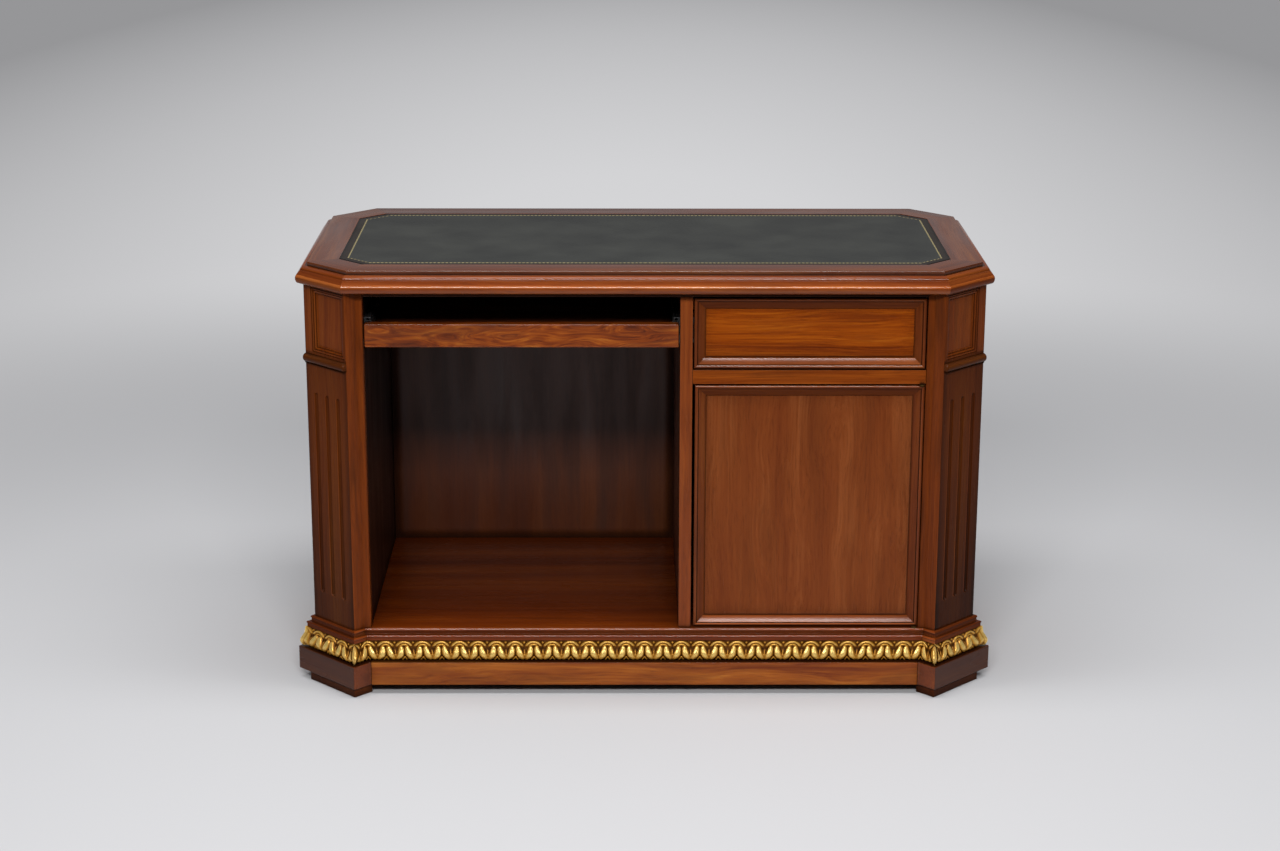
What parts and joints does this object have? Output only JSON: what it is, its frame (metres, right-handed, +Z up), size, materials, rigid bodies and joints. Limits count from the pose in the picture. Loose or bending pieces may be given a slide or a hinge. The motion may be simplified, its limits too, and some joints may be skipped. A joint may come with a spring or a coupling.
{
  "type": "executive desk",
  "caption": "Octagonal leather-topped mahogany desk with canted fluted corners, keyboard tray over an open bay, drawer over a door, and a gilt leaf base moulding.",
  "frame": {"origin": "on the floor under the middle of the desk", "axes": "+X to the user's right along the length, +Y from the user's side to the back, +Z up"},
  "size_m": [1.2522, 0.6322, 0.769],
  "materials": {
    "mahogany": "french polished",
    "inner_wood": "dark stained, satin",
    "drawer_wood": "waxed",
    "leather": "polished hide with a gold line",
    "gilding": "burnished gold leaf on carved wood",
    "steel": "zinc plated",
    "brass": "satin",
    "catch_plastic": "moulded"
  },
  "bodies": {
    "carcass": {"back_board": "mahogany", "back_mouldings": "mahogany", "back_rails": "mahogany", "back_stiles": "mahogany", "base_cap_back": "mahogany", "base_cap_corners": "mahogany", "base_cap_front": "mahogany", "base_cap_left": "mahogany", "base_cap_right": "mahogany", "bottom_board": "inner_wood", "centre_partition": "inner_wood", "corner_pilaster_back_left": "mahogany", "corner_pilaster_back_right": "mahogany", "corner_pilaster_front_left": "mahogany", "corner_pilaster_front_right": "mahogany", "door_catch": "catch_plastic", "drawer_rail": "mahogany", "drawer_slide_channels": "steel", "feet": "mahogany", "frame_hinge_leaves": "brass", "gilt_moulding_back": "gilding", "gilt_moulding_corners": "gilding", "gilt_moulding_front": "gilding", "gilt_moulding_left": "gilding", "gilt_moulding_right": "gilding", "inner_back": "inner_wood", "leather_panel": "leather", "left_lining": "inner_wood", "left_side_board": "mahogany", "left_side_mouldings": "mahogany", "pilaster_beads": "mahogany", "plinth_back_rail": "mahogany", "plinth_block_back_left": "mahogany", "plinth_block_back_right": "mahogany", "plinth_block_front_left": "mahogany", "plinth_block_front_right": "mahogany", "plinth_front_rail": "mahogany", "plinth_left_rail": "mahogany", "plinth_right_rail": "mahogany", "right_lining": "inner_wood", "right_side_board": "mahogany", "right_side_mouldings": "mahogany", "side_rails": "mahogany", "sub_top": "inner_wood", "top_board": "mahogany", "tray_slide_channels": "steel"},
    "drawer": {"drawer_back": "drawer_wood", "drawer_bottom": "drawer_wood", "drawer_front": "mahogany", "drawer_front_moulding": "mahogany", "drawer_left_side": "drawer_wood", "drawer_right_side": "drawer_wood", "drawer_slide_runners": "steel"},
    "keyboard_tray": {"tray_board": "inner_wood", "tray_front": "mahogany", "tray_slide_runners": "steel"},
    "door": {"door_panel": "mahogany", "door_moulding": "mahogany", "door_hinge_leaves": "brass"}
  },
  "joints": [
    {"name": "drawer_slide", "type": "slide", "parent": "carcass", "child": "drawer", "axis": [0, -1, 0], "range_m": [0, 0.32]},
    {"name": "tray_slide", "type": "slide", "parent": "carcass", "child": "keyboard_tray", "axis": [0, -1, 0], "range_m": [0, 0.3]},
    {"name": "door_hinge", "type": "hinge", "parent": "carcass", "child": "door", "pos_m": [0.4805, -0.269, 0.3425], "axis": [0, 0, 1], "range_deg": [0, 100]}
  ]
}
